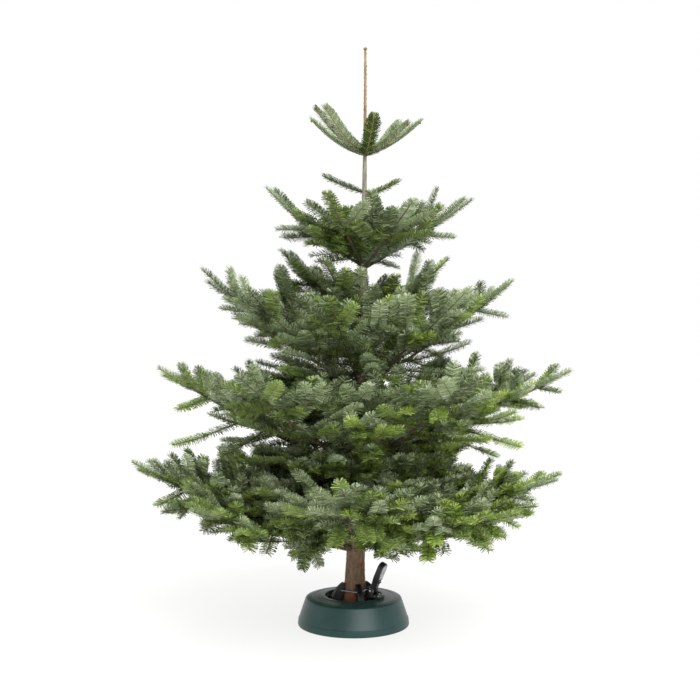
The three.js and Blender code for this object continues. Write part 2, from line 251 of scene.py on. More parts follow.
def joined(name, pieces, materials, smooth=True):
    """One object from several (points, faces, material number) closed shapes."""
    points, faces, which, seen = [], [], [], 0
    for shape_points, shape_faces, material in pieces:
        points.append(shape_points)
        faces += [[int(i) + seen for i in f] for f in shape_faces]
        which += [material] * len(shape_faces)
        seen += len(shape_points)
    return make_piece(name, np.concatenate(points), faces, materials, which, smooth)


bowl = turned("stand_bowl_moulding", bowl_outline[::-1], BOWL_SIDES, [black])
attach(bowl, "tree")
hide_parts("stand_bowl")

rib = rounded([(72.4, 10, 0.5), (86.4, 79, 0.5), (81.5, 79, 2), (68.5, 13, 3), (68.5, 10, 0.5)], 3)
ribs = [
    plate(rib, -RIB_HALF, RIB_HALF, 0.5, laid("uwv", bearing))
    for bearing in np.arange(0, 360, 360 / RIB_COUNT)
]
bowl_ribs = joined("stand_bowl_ribs", ribs, [black], smooth=False)
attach(bowl_ribs, "tree")

# ------ stand: jaws
# Four claws moulded in the same black plastic grip the trunk. Each stands with its heel in the
# bowl, is stiffened by a rim and cross ribs, and bites the bark with a toothed nose.

JAW_BEARINGS = (15, 105, 195, 285)
JAW_TOP = 132
JAW_HALF, WEB_HALF = 9.0, 6.6
NOSE = 34.4  # from the middle of the trunk to the teeth
BACK_RIM, FRONT_RIM = 4.5, 4.0
CROSS_RIBS = (66, 80, 94)
TEETH_FROM, TEETH_TO, TOOTH_PITCH = 113, 130, 3.2
TREE_TOP, TRUNK_LEAN = 1.846, 0.038


def bend(a, knee, b, steps=8):
    """Points on the quadratic curve from a to b, at evenly spaced shares."""
    return curve(np.linspace(0, 1, steps)[:, None], *map(np.array, (a, knee, b)))


def stem_x(z):
    """How far the stem has leaned to the right at a height: its lean x sin(90 degrees z / top)."""
    return TRUNK_LEAN * np.sin(np.pi / 2 * np.asarray(z) / TREE_TOP)


def band(line, width):
    """A closed outline: a line of points, and back along it, moved to its left by width."""
    line = np.asarray(line, float)
    ahead = np.gradient(line, axis=0)
    left = np.stack([-ahead[:, 1], ahead[:, 0]], 1) / np.linalg.norm(ahead, axis=1, keepdims=True)
    return np.concatenate([line, (line + left * width)[::-1]])


over_back = bend((76, 88), (66, 112), (50, 125))
over_nose = bend((50, 125), (43, JAW_TOP), (NOSE + 3, JAW_TOP))
back_edge = np.concatenate([[(73.0, 58.0)], over_back, over_nose[1:]])
under_nose = bend((NOSE + 2.2, 112), (NOSE + 7, 84), (60, 50))
front_edge = np.concatenate([[(NOSE + 1.8, JAW_TOP - 4)], under_nose])
jaw_centre = (float(stem_x(JAW_TOP / 1000)), 0.0)
for number, bearing in enumerate(JAW_BEARINGS, 1):
    lay = laid("uwv", bearing, jaw_centre)
    web = np.concatenate([back_edge, front_edge])
    shapes = [plate(web, -WEB_HALF, WEB_HALF, 1.0, lay)]
    for edge, width in ((back_edge, BACK_RIM), (front_edge, FRONT_RIM)):
        shapes.append(plate(band(edge, width), -JAW_HALF, JAW_HALF, 1.2, lay))
    for low in CROSS_RIBS:
        inner = NOSE + 12 + (CROSS_RIBS[-1] - low) * 0.3
        rib = [(inner, low), (72, low + 5), (72, low + 7.2), (NOSE + 12, low + 2.2)]
        shapes.append(plate(rib, -JAW_HALF + 0.5, JAW_HALF - 0.5, 0.5, lay))
    for low in np.arange(TEETH_FROM, TEETH_TO, TOOTH_PITCH):
        tooth = [(NOSE + 2.6, low), (NOSE + 2.6, low + 2.8), (NOSE + 0.2, low + 1.9)]
        shapes.append(plate(tooth, -JAW_HALF + 1, JAW_HALF - 1, 0.3, lay))
    jaw = joined(f"stand_jaw_moulding_{number}", shapes, [black], smooth=False)
    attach(jaw, "tree")
    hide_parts(f"stand_jaw_{number}")

# ------ stand: clamp cable
# One turn of 4 mm galvanized steel rope, six strands laid round a core, threaded through the four
# jaws and drawn tight by the winder, which pulls the jaws onto the trunk.

ROPE_R, ROPE_HEIGHT, ROPE_RING_R = 2.0, 109.0, 50.0
STRANDS, LAY_LENGTH, STRAND_DEPTH = 6, 26.0, 0.16
ROPE_STATIONS, ROPE_SIDES = 420, 24
HOLES_APART = 8  # degrees from a jaw's bearing to each end of the hole through it
LEVER_BEARING = -30
DRUM_R, ROPE_RISE = 51.0, 8.0  # the drum's near face, and how much higher the rope runs onto it
ROPE_END, ROPE_TURN = 12.3, 18.4  # how far beside the lever's bearing the rope ends and turns


def zinc_coat(name, colour, roughness, per_metre, detail, dullness):
    """Steel under zinc: a bright metal, gone dull in patches a few millimetres wide."""
    coat, tree, shader = finish(name, colour, Metallic=1.0, Roughness=roughness)
    place = add(tree, "ShaderNodeTexCoord", {}).outputs["Object"]
    dull = add(tree, "ShaderNodeTexNoise", {"Vector": place, "Scale": per_metre, "Detail": detail})
    spread = {"Value": dull.outputs["Fac"], "To Min": dullness[0], "To Max": dullness[1]}
    add(tree, "ShaderNodeMapRange", spread, shader.inputs["Roughness"])
    return coat


galvanized = zinc_coat("galvanized steel rope", "#B9BDBF", 0.34, 260.0, 3.0, (0.24, 0.5))

ring_x = 1000 * float(stem_x(ROPE_HEIGHT / 1000))
beside = (ROPE_END, ROPE_TURN, -ROPE_TURN, -ROPE_END)
at_drum = turn_about([(DRUM_R + 5, side, 0) for side in beside], LEVER_BEARING)[:, :2]
holes = [bearing + off for bearing in JAW_BEARINGS for off in (-HOLES_APART, HOLES_APART)]
at = np.radians(holes)
at_jaws = np.stack([ring_x + ROPE_RING_R * np.cos(at), ROPE_RING_R * np.sin(at)], 1)
route = np.concatenate([at_drum[:2], at_jaws, at_drum[2:]])
rises = np.pad(np.zeros(len(at_jaws)), 2, constant_values=ROPE_RISE)
route = np.column_stack([route, ROPE_HEIGHT + rises])
# Each corner is eased from 0.3 of the way to the one before to 0.3 of the way to the one after.
eased = [route[:1]]
for before, corner, after in zip(route[:-2], route[1:-1], route[2:]):
    start, end = corner + 0.3 * (before - corner), corner + 0.3 * (after - corner)
    eased.append(bend(start, corner, end, 7))
route = np.concatenate([*eased, route[-1:]])
along = np.concatenate([[0], np.cumsum(np.linalg.norm(np.diff(route, axis=0), axis=1))])
fine = np.linspace(0, along[-1], ROPE_STATIONS)
line = np.stack([np.interp(fine, along, route[:, axis]) for axis in range(3)], 1)
ahead = np.gradient(line, axis=0)
ahead /= np.linalg.norm(ahead, axis=1, keepdims=True)
# Round the rope the radius swells over each strand, R (0.84 + 0.16 |cos(3 (a - turn))|), where turn
# goes once round in a lay length. A point is r cos a beside the line and r sin a above it.
a = np.linspace(0, 2 * np.pi, ROPE_SIDES, endpoint=False)[None, :]
turn = 2 * np.pi * fine[:, None] / LAY_LENGTH
swell = np.abs(np.cos(STRANDS / 2 * (a - turn)))
r = ROPE_R * (1 - STRAND_DEPTH + STRAND_DEPTH * swell)
points = np.stack(
    [
        line[:, :1] + r * np.cos(a) * ahead[:, 1:2],
        line[:, 1:2] - r * np.cos(a) * ahead[:, :1],
        line[:, 2:] + r * np.sin(a),
    ],
    -1,
)
faces = tube_faces(ROPE_STATIONS, ROPE_SIDES, flip=True)
cable = make_piece("stand_cable_rope", points.reshape(-1, 3) / 1000, faces, [galvanized])
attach(cable, "tree")
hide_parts("stand_cable")

# ------ stand: winder
# A black moulded bracket screwed to the rim, reaching in over the mouth. It holds the drum that
# takes in the rope, and two ears for the steel pin of the foot lever.

PIVOT_R, PIVOT_HEIGHT = 71.0, 114.0
EAR_IN, EAR_OUT, EAR_HALF = 15.0, 20.0, 8.0
BRACKET_OUT, BRACKET_HALF, BRACKET_TOP = 104, 20, 99
DRUM_HALF, DRUM_DEEP = 12, 10
PIN_HEAD_R, PIN_HEAD_HIGH = 3.8, 0.9
SCREW_R, SCREWS_OUT, SCREWS_SIDE = 2.6, (85.0, 98.0), 16.0

# Plated for looks as well as against rust: a brighter, finer zinc than the rope's.
zinc = zinc_coat("zinc plated steel", "#C3C6C8", 0.3, 320.0, 2.0, (0.22, 0.42))


def disc(radius, centre=(0, 0), sides=24):
    """A circle of points about a centre."""
    a = np.linspace(0, 2 * np.pi, sides, endpoint=False)
    return np.stack([centre[0] + radius * np.cos(a), centre[1] + radius * np.sin(a)], 1)


def oblong(left, right, low, high, radii, steps=5):
    """A rounded rectangle: its radii are for the corners from low left, anticlockwise."""
    xy = ((left, low), (right, low), (right, high), (left, high))
    return rounded([(*corner, radius) for corner, radius in zip(xy, radii)], steps)


bracket = oblong(DRUM_R, BRACKET_OUT, -BRACKET_HALF, BRACKET_HALF, (3, 6, 6, 3))
low, high = BRACKET_TOP - 2, PIVOT_HEIGHT + EAR_HALF
drum = oblong(-DRUM_HALF, DRUM_HALF, low, high, (1, 1, 4, 4))
ear = oblong(PIVOT_R - EAR_HALF, PIVOT_R + EAR_HALF, low, high, (1, 1, 7.5, 7.5), 7)
flat, facing_out, on_side = (laid(order, LEVER_BEARING) for order in ("uvw", "wuv", "uwv"))
pin_head = disc(PIN_HEAD_R, (PIVOT_R, PIVOT_HEIGHT))
shapes = [
    plate(bracket, 92.2, BRACKET_TOP, 1.2, flat),
    plate(drum, DRUM_R, DRUM_R + DRUM_DEEP, 1.2, facing_out),
]
for side in (-1, 1):
    low, high = sorted((side * EAR_IN, side * EAR_OUT))
    shapes.append(plate(ear, low, high, 1.0, on_side))
    low, high = sorted((side * EAR_OUT, side * (EAR_OUT + PIN_HEAD_HIGH)))
    shapes.append(plate(pin_head, low - 0.1, high, 0.3, on_side, 1))
    for out in SCREWS_OUT:
        screw = disc(SCREW_R, (out, side * SCREWS_SIDE), 16)
        shapes.append(plate(screw, BRACKET_TOP - 0.2, BRACKET_TOP + 1.6, 0.6, flat, 1))
winder = joined("stand_winder_block", shapes, [black, zinc])
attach(winder, "tree")
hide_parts("stand_winder")

# ------ stand: foot lever
# A black moulded pedal on a steel pin, with a light grey ribbed tread set into its outer face. A
# toothed steel wheel each side of its hub and a sprung steel latch hold the rope tight.

LEVER_LEAN = 24  # degrees back from upright
LEVER_LENGTH, LEVER_HALF = 81.0, 9.5
HUB_R, HUB_HALF, PIN_R, PIN_HALF = 8.0, 12, 3.0, 20
WHEEL_TIP, WHEEL_ROOT, WHEEL_POINTS, WHEEL_THICK = 9.6, 7.8, 36, 1.6
BARS_FROM, BARS_TO, BAR_PITCH, BAR_HIGH = 56, 97, 5.2, 2.2
RIVETS_UP, RIVET_R = (15.0, 25.0), 2.2

# Moulded rubber, matt, with the pale scuffs and grey smears of shoes.
RUBBER_GREYS = ("#C2C5C4", "#A9ACAB", "#CDD0CF")
tread_grey = mottled(
    "moulded rubber light grey", RUBBER_GREYS, 90.0, 5.0, (0.35, 0.65), Roughness=0.62, IOR=1.5
)[0]


def on_lever(sideways, up, outward):
    """From the lever's own directions, in millimetres from its pin, to its place in the stand."""
    lean = math.radians(LEVER_LEAN)
    x = PIVOT_R + outward * math.cos(lean) + up * math.sin(lean)
    z = PIVOT_HEIGHT - outward * math.sin(lean) + up * math.cos(lean)
    return turn_about(np.stack([x, sideways, z], 1) / 1000, LEVER_BEARING)


def across_lever(u, v, w):
    """Outline seen from the side, thickness along the pin."""
    return on_lever(w, v, u)


def round_ended(narrow, wide, low, high, middle):
    """A pedal outline: straight sides that widen, and a half circle on top."""
    a = np.linspace(0, np.pi, 15)
    top = np.stack([wide * np.cos(a), high + wide * np.sin(a)], 1)
    right = bend((narrow, low), (narrow + 0.5, middle), (wide, middle + 12), 6)
    return np.concatenate([right, top, (right * [-1, 1])[::-1]])


point = np.arange(WHEEL_POINTS)
wheel_r = np.where(point % 3 == 0, WHEEL_TIP, WHEEL_ROOT)[:, None]
wheel = disc(1.0, sides=WHEEL_POINTS) * wheel_r
pedal = round_ended(11.0, 17.5, 0, LEVER_LENGTH, 30)
tread = round_ended(9.0, 14.2, 44, LEVER_LENGTH, 50)
face = LEVER_HALF
shapes = [
    plate(pedal, -face, face, 4.0, on_lever),
    plate(disc(HUB_R), -HUB_HALF, HUB_HALF, 0.8, across_lever),
    plate(disc(PIN_R, sides=16), -PIN_HALF, PIN_HALF, 0.6, across_lever, 1),
    plate(tread, face - 1, face + 1, 0.6, on_lever, 2),
]
for low in (-13.9, 12.3):
    shapes.append(plate(wheel, low, low + WHEEL_THICK, 0.2, across_lever, 1))
for low in np.arange(BARS_FROM, BARS_TO, BAR_PITCH):
    half = 11.5 if low < 84 else 9.0  # the last ones are in the round end
    bar = oblong(-half, half, low, low + BAR_HIGH, (1, 1, 1, 1), 3)
    shapes.append(plate(bar, face + 0.8, face + 2, 0.5, on_lever, 2))
latch = rounded([(-6, 10, 2), (6, 10, 2), (5, 36, 3), (-5, 36, 3)])
shapes.append(plate(latch, face - 0.4, face + 1.1, 0.4, on_lever, 1))
catch = oblong(-8, 8, 31, 35, (1, 1, 1, 1))
shapes.append(plate(catch, face + 0.9, face + 4, 0.7, on_lever))
for up in RIVETS_UP:
    shapes.append(plate(disc(RIVET_R, (0, up), 14), face + 1, face + 2.1, 0.5, on_lever))
lever = joined("stand_foot_lever", shapes, [black, zinc, tread_grey])
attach(lever, "lever")
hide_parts("stand_lever")

# ------ tree: the trunk
# The stem of a young fir: smooth grey-brown bark with resin blisters, rough and torn at the foot
# where the jaws grip it, thicker at each year's whorl and ochre on the last year's leader.

STEM_FOOT, STEM_END = 0.0088, TREE_TOP - 0.014
# The stem's height and radius at each of its stations.
STEM = [
    (STEM_FOOT, 0.0395), (0.060, 0.0378), (0.105, 0.0343), (0.190, 0.0302), (0.260, 0.0294),
    (0.500, 0.0245), (0.765, 0.0190), (1.145, 0.0125), (1.300, 0.0090), (1.456, 0.0067),
    (1.530, 0.0052), (1.700, 0.0042), (STEM_END, 0.0036),
]
WHORL_HEIGHTS, WHORL_SPREAD = (0.249, 0.492, 0.761, 1.145, 1.502), 0.014
KNOT_BEARING, KNOT_HEIGHT, KNOT_R = 0.86, 0.191, 0.0075  # its bearing as a share of a turn
GRIP_TOP = 0.06  # the bark is torn up to here, and less and less for 75 mm above
TRUNK_COLUMNS = 84


def stem_radius(z):
    """The stem's radius, straight between its stations."""
    return np.interp(z, *np.transpose(STEM))


def rough(u, v, columns, rows, seed):
    """Smooth unevenness from -1 to 1: seeded random values at the corners of a grid of cells.

    u goes round once from 0 to 1 and wraps; v goes up from 0 to 1. Between corners the values
    are blended by the ease 3 t^2 - 2 t^3 both ways."""
    lattice = np.random.default_rng(seed).uniform(-1, 1, (rows + 2, columns))
    x, y = (u % 1) * columns, np.clip(v, 0, 1) * rows
    i, j = np.floor(x).astype(int), np.floor(y).astype(int)
    fx, fy = x - i, y - j
    fx, fy = fx * fx * (3 - 2 * fx), fy * fy * (3 - 2 * fy)
    i0, i1 = i % columns, (i + 1) % columns
    low = lattice[j, i0] * (1 - fx) + lattice[j, i1] * fx
    high = lattice[j + 1, i0] * (1 - fx) + lattice[j + 1, i1] * fx
    return low * (1 - fy) + high * fy


def bark_finish(name, young, old, torn, newest="#9A7F58"):
    """Bark: a mottled grey-brown, redder and darker towards the foot and ochre on the last year's
    growth above 1.5 m, with torn orange inner bark where the mesh's own attribute "torn" says so,
    and a bump of patches 9 mm across, drawn out three times as long up the stem."""
    made, tree, shader = finish(name, young, Roughness=0.86, IOR=1.45)
    place = add(tree, "ShaderNodeTexCoord", {}).outputs["Object"]
    drawn = add(tree, "ShaderNodeMapping", {"Vector": place, "Scale": (1.0, 1.0, 0.35)})
    mottle = {"Vector": drawn.outputs["Vector"], "Scale": 110.0, "Detail": 5.0}
    mottle = add(tree, "ShaderNodeTexNoise", mottle).outputs["Fac"]
    fleck = {"Vector": place, "Scale": 420.0, "Detail": 3.0}
    fleck = add(tree, "ShaderNodeTexNoise", fleck).outputs["Fac"]
    height = add(tree, "ShaderNodeSeparateXYZ", {"Vector": place}).outputs["Z"]
    upper = add(tree, "ShaderNodeMapRange", {"Value": height, "From Min": 0.15, "From Max": 1.3})
    last = add(tree, "ShaderNodeMapRange", {"Value": height, "From Min": 1.49, "From Max": 1.53})
    opened = add(tree, "ShaderNodeAttribute", {}, attribute_name="torn").outputs["Fac"]

    def over(below, factor, colour):
        """One colour laid over what is below by a factor."""
        mixed = {"Factor": factor, "A": below, "B": linear(colour)}
        return add(tree, "ShaderNodeMix", mixed, data_type="RGBA").outputs["Result"]

    aged = over(linear(old), upper.outputs["Result"], young)
    aged = over(aged, last.outputs["Result"], newest)
    patch = {"Value": mottle, "From Min": 0.35, "From Max": 0.7, "To Min": 0.62, "To Max": 1.25}
    patch = add(tree, "ShaderNodeMapRange", patch).outputs["Result"]
    spots = add(tree, "ShaderNodeMapRange", {"Value": fleck, "To Min": 0.8, "To Max": 1.2})
    both = {0: patch, 1: spots.outputs["Result"]}
    both = add(tree, "ShaderNodeMath", both, operation="MULTIPLY").outputs["Value"]
    shaded = {"Factor": 1.0, "A": aged, "B": both}
    shaded = add(tree, "ShaderNodeMix", shaded, data_type="RGBA", blend_type="MULTIPLY")
    bark = over(shaded.outputs["Result"], opened, torn)
    tree.links.new(bark, shader.inputs["Base Color"])
    relief = {"Height": mottle, "Strength": 0.5, "Distance": 0.0012}
    add(tree, "ShaderNodeBump", relief, shader.inputs["Normal"])
    return made


trunk_bark = bark_finish("fir trunk bark", "#9A9282", "#7C644D", "#7C4022")

around = np.linspace(0, 1, TRUNK_COLUMNS, endpoint=False)[None, :]
z = np.concatenate([np.linspace(STEM_FOOT, 0.30, 170), np.linspace(0.303, STEM_END, 330)])[:, None]
share = z / TREE_TOP
base = stem_radius(z)
whorls = sum(np.exp(-(((z - at) / WHORL_SPREAD) ** 2)) for at in WHORL_HEIGHTS)
fissures = -np.abs(rough(around, share, 26, 150, 1)) * 0.035 + rough(around, share, 9, 40, 2) * 0.03
blisters = np.clip(rough(around, share, 30, 420, 3) - 0.55, 0, 1) * 0.12
gripped = 1.15 - (z - GRIP_TOP) / 0.075 + 0.55 * rough(around, share, 12, 110, 4)
gripped = np.clip(gripped, 0, 1)
# A sawn-off twig has left a knot on the right of the front: exp(-(distance / its radius)^4).
around_knot = (around - KNOT_BEARING) * 2 * np.pi * base
knot = np.exp(-(((around_knot**2 + (z - KNOT_HEIGHT) ** 2) / KNOT_R**2) ** 2))
splinters = gripped * 0.045 * rough(around, share, 22, 230, 5)
relief = 1 + 0.10 * knot + 0.10 * whorls + fissures + blisters * (1 - gripped) + splinters
radius = base * relief
angle = 2 * np.pi * around
points = np.stack([stem_x(z) + radius * np.cos(angle), radius * np.sin(angle), z + 0 * around], -1)
faces = tube_faces(*points.shape[:2])
trunk = make_piece("trunk_bark", points.reshape(-1, 3), faces, [trunk_bark])
torn = np.clip(gripped * (0.62 + 0.6 * rough(around, share, 14, 120, 6)) + 0.9 * knot, 0, 1)
torn_bark = trunk.data.attributes.new("torn", "FLOAT", "POINT")
torn_bark.data.foreach_set("value", torn.ravel().astype(np.float32))
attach(trunk, "tree")
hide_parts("trunk")

# ------ tree: how it grows
# Each whorl of boughs is one year's. Every year each live tip puts out one shoot straight on and
# a few round it, so a bough of five years is a flat fan of shoots five deep.

SKY = np.array([0.0, 0.0, 1.0])
# Each tier: height, first slope, years of growth, and each bough's bearing, reach and rise.
TIERS = {
    "tier1": (1.500, 0.26, 1, [
        (12, 0.194, 0.118), (335, 0.160, 0.094), (48, 0.176, 0.132), (279, 0.176, 0.094),
        (224, 0.182, 0.122), (197, 0.176, 0.136), (166, 0.188, 0.125),
    ]),
    "odd": (1.372, 0.30, 1, [(5, 0.122, 0.054), (176, 0.140, 0.058)]),
    "tier2": (1.140, 0.55, 2, [
        (4, 0.362, 0.224), (88, 0.330, 0.218), (178, 0.322, 0.252), (249, 0.315, 0.190),
        (299, 0.305, 0.178),
    ]),
    "tier3": (0.758, 0.52, 3, [
        (2, 0.500, 0.336), (62, 0.470, 0.330), (124, 0.480, 0.330), (184, 0.513, 0.374),
        (220, 0.445, 0.300), (258, 0.430, 0.262), (314, 0.445, 0.280),
    ]),
    "tier4": (0.492, 0.42, 4, [
        (356, 0.682, 0.312), (54, 0.640, 0.310), (116, 0.630, 0.300), (178, 0.655, 0.332),
        (240, 0.650, 0.310), (300, 0.640, 0.300),
    ]),
    "tier5": (0.247, 0.24, 5, [
        (4, 0.676, 0.222), (58, 0.660, 0.240), (122, 0.670, 0.250), (182, 0.721, 0.281),
        (225, 0.650, 0.190), (267, 0.660, 0.262), (314, 0.650, 0.175),
    ]),
}
# Short boughs between the whorls: tier they count with, height, spread in height, rise over
# reach, years, how many, and their least and greatest reach.
BETWEEN = [
    ("tier2", 1.190, 0.030, 0.48, 2, 8, 0.200, 0.270),
    ("tier2", 0.960, 0.045, 0.70, 2, 7, 0.225, 0.290),
    ("tier3", 0.600, 0.040, 0.44, 3, 9, 0.300, 0.420),
    ("tier4", 0.455, 0.030, 0.26, 4, 5, 0.330, 0.430),
    ("tier4", 0.345, 0.035, 0.33, 4, 6, 0.360, 0.460),
]
# What grows round a shoot's tip the year after: degrees off the line, degrees round it from the
# right (90 is up), share of the leading shoot's growth, and the chance of it: as a rule, and on
# the third tier and the outermost twigs.
WHORL = [
    (48, 4, 0.92, 0.97, 0.97),
    (48, 176, 0.92, 0.97, 0.97),
    (44, 66, 0.72, 0.16, 0.30),
    (44, 114, 0.72, 0.16, 0.30),
    (46, 268, 0.62, 0.40, 0.45),
]
BELOW_CHANCE = 0.15  # of the one below an older shoot of the second and third tiers
# How many small shoots grow along a bough, along a side branch of it, and along the next ones.
ALONG = {
    "tier1": (0, 0, 0), "odd": (0, 0, 0), "tier2": (7, 3, 0), "tier3": (7, 2, 0),
    "tier4": (5, 2, 0), "tier5": (5, 2, 0), "hanging": (3, 0, 0),
}
# How far a shoot turns up to the light in a year.
LIFT = {
    "tier1": 0.14, "odd": 0.1, "tier2": 0.06, "tier3": 0.10, "tier4": 0.11, "tier5": 0.09,
    "hanging": -0.02,
}
# The shares of a bough at which its years' growths end: the first year's is the longest.
YEARS = {
    1: (0, 1),
    2: (0, 0.53, 1),
    3: (0, 0.42, 0.76, 1),
    4: (0, 0.32, 0.59, 0.82, 1),
    5: (0, 0.24, 0.45, 0.64, 0.82, 1),
}
# Nothing is left lower than this above the floor, and this share of its distance out on top.
TRIMMED, TRIMMED_RISE = 0.250, 0.08
NEEDLE_BRUSH = 0.012  # how far the needles stand out past a tip
LAST_ORDER = 4  # the boughs are the first order, and shoots of the fourth don't fork
YEARLY_LOSS = 0.085  # side shoots of the inner years grow this much less for each year

rng = np.random.default_rng(20)
# Every shoot: its foot, knee, tip, upper side, age and order, and its tier, its bough's bearing
# and a number that its greens are dealt by.
shoots = []
boughs = []


def unit(v):
    """Vectors at length one."""
    return v / np.linalg.norm(v, axis=-1, keepdims=True)


def square_to(heading, up):
    """The part of up that is square to a heading, at length one."""
    return unit(up - heading * np.dot(up, heading))


def branch(foot, knee, tip, up, later, order, spray):
    """What grows from a shoot in later years: a whorl round its tip, and small shoots along it."""
    heading = unit(tip - knee)
    side = np.cross(heading, up)
    for off, roll, portion, usual_chance, outer_chance in WHORL:
        outer = spray[0] == "tier3" or (len(later) == 1 and order < 3)
        below = roll > 180 and spray[0] in ("tier2", "tier3") and len(later) > 1
        chance = BELOW_CHANCE if below else outer_chance if outer else usual_chance
        if order >= LAST_ORDER or rng.random() > chance:
            continue
        off = math.radians(off - (9 if len(later) == 1 else 0) + rng.normal(0, 5))
        roll = math.radians(roll + rng.normal(0, 9))
        out = math.cos(roll) * side + math.sin(roll) * up
        aim = math.cos(off) * heading + math.sin(off) * out
        shaded = 1 - YEARLY_LOSS * (len(later) - 1)
        growths = [g * portion * shaded * rng.uniform(0.88, 1.1) for g in later]
        dealt = (*spray[:2], rng.random()) if order < 3 else spray
        grow(tip, aim, square_to(aim, up + 0.7 * SKY), growths, order + 1, dealt)
    for k in range(ALONG[spray[0]][min(order, 3) - 1]):
        s = rng.uniform(0.2, 0.9)
        off = math.radians(rng.uniform(50, 62))
        roll = math.radians((0, 180)[k % 2] + rng.normal(0, 28))
        along = unit((1 - s) * (knee - foot) + s * (tip - knee))
        out = math.cos(roll) * np.cross(along, up) + math.sin(roll) * up
        aim = unit(math.cos(off) * along + math.sin(off) * out)
        at = curve(s, foot, knee, tip)
        growths = [g * rng.uniform(0.75, 1.0) for g in later[-2:]]
        dealt = (*spray[:2], rng.random())
        grow(at, aim, square_to(aim, up + 0.7 * SKY), growths, LAST_ORDER, dealt)


def grow(foot, heading, up, growths, order, spray):
    """A side branch: one shoot a year, the oldest first, each turning a little to the light."""
    for year, length in enumerate(growths):
        later = growths[year + 1 :]
        knee = foot + heading * length / 2
        aim = unit(heading + LIFT[spray[0]] * SKY + 0.05 * rng.normal(size=3))
        tip = knee + aim * length / 2
        lowest = TRIMMED + TRIMMED_RISE * math.hypot(tip[0], tip[1]) + rng.uniform(-0.022, 0.022)
        if tip[2] < lowest and spray[0] != "hanging":
            return
        shoots.append((foot, knee, tip, up, len(later), order, *spray))
        if later:
            branch(foot, knee, tip, up, later, order, spray)
        foot, heading, up = tip, aim, square_to(aim, up)


def grow_bough(tier, height, slope, years, bearing, reach, rise):
    """A main bough along the quadratic curve P from the stem to its furthest tip, cut into years.

    The piece of the curve from share a to share b has its knee at P(a) + P'(a) (b - a) / 2."""
    out = np.array([math.cos(math.radians(bearing)), math.sin(math.radians(bearing)), 0.0])
    root = np.array([float(stem_x(height)), 0.0, height])
    start = float(stem_radius(height)) / 2
    reach, rise = reach - NEEDLE_BRUSH, rise - NEEDLE_BRUSH / 2
    middle = (start + reach) / 2
    p0 = root + out * start
    p1 = root + out * middle + SKY * (middle - start) * slope
    p2 = root + out * reach + SKY * rise
    place = lambda s: curve(s, p0, p1, p2)
    speed = lambda s: 2 * ((1 - s) * (p1 - p0) + s * (p2 - p1))
    marks = np.array(YEARS[years], float)
    marks[1:-1] += rng.uniform(-0.02, 0.02, years - 1)
    spray = (tier, bearing, rng.random())
    boughs.append((tier, place, years, reach, bearing))
    for year in range(years):
        a, b = marks[year], marks[year + 1]
        foot, tip = place(a), place(b)
        knee = foot + speed(a) * (b - a) / 2
        up = square_to(unit(tip - foot), SKY)
        ends = [place(mark) for mark in marks[year + 1 :]]
        lengths = [np.linalg.norm(end - start) for start, end in zip(ends, ends[1:])]
        shoots.append((foot, knee, tip, up, years - 1 - year, 1, *spray))
        if lengths:
            branch(foot, knee, tip, up, lengths, 1, spray)


for tier, (height, slope, years, whorl) in TIERS.items():
    for bearing, reach, rise in whorl:
        grow_bough(tier, height + rng.uniform(-0.008, 0.008), slope, years, bearing, reach, rise)
for tier, height, spread, slope, years, count, least, most in BETWEEN:
    for k in range(count):
        bearing = 270 + 360 * (k + 0.5 + 0.4 * (rng.random() - 0.5)) / count
        reach = rng.uniform(least, most)
        z0 = height + rng.uniform(-spread, spread)
        grow_bough(tier, z0, slope * 0.6, years, bearing, reach, reach * slope)

# One shoot missed by the trimming hangs down at the back on the left.
HANGING_FROM, HANGING_SHARE, HANGING_YEARS = 122, 0.36, [0.105, 0.085]
low_bough = next(b for b in boughs if b[0] == "tier5" and b[4] == HANGING_FROM)
down = unit(np.array([-0.32, -0.1, -1.0]))
back = square_to(down, np.array([0.2, 1.0, 0.2]))
grow(low_bough[1](HANGING_SHARE), down, back, HANGING_YEARS, 2, ("hanging", HANGING_FROM, 0.3))
# The leader's own needles are short and lie close to it.
LEADER_NEEDLES = (1.52, 1.67, 1.836)
leader = [np.array([float(stem_x(h)), 0.0, h]) for h in LEADER_NEEDLES]
shoots.append((*leader, np.array([0.0, 1.0, 0.0]), 0, 1, "leader", 0, 0.9))

foot, knee, tip, up, age, order, tier_of, bearing_of, dealt = map(np.array, zip(*shoots))
long = np.linalg.norm(tip - foot, axis=1)


def on_curve(i, s):
    """Points and headings at shares s of shoots i, on the quadratic curve foot, knee, tip."""
    s = s[:, None]
    at = curve(s, foot[i], knee[i], tip[i])
    return at, unit((1 - s) * (knee[i] - foot[i]) + s * (tip[i] - knee[i]))


# ------ tree: boughs and twigs
# Boughs have the stem's grey-brown bark in darker colours, a painted shade for the boughs inside
# the crown. Twigs are slimmer, smoother and browner, and the last year's are a light olive brown.

# Painted shade: the stem's bark finish in darker colours.
shaded_bough_bark = bark_finish("fir bough bark", "#6F6555", "#62543F", "#6E4228")
old_twig = finish("fir twig two years and older", "#6F6150", Roughness=0.8, IOR=1.45)[0]
young_twig = finish("fir twig of the last year", "#75734A", Roughness=0.7, IOR=1.45)[0]

# A bough's radius at its foot; a short one between the whorls is slimmer, by SHORT_BOUGH.
BOUGH_FOOT = {
    "tier1": 0.0022, "odd": 0.0022, "tier2": 0.0052, "tier3": 0.0076, "tier4": 0.0098,
    "tier5": 0.0108,
}
SHORT_BOUGH, SHORT_REACH = 0.62, 0.5
BOUGH_TIP, BOUGH_SIDES = 0.0012, 12

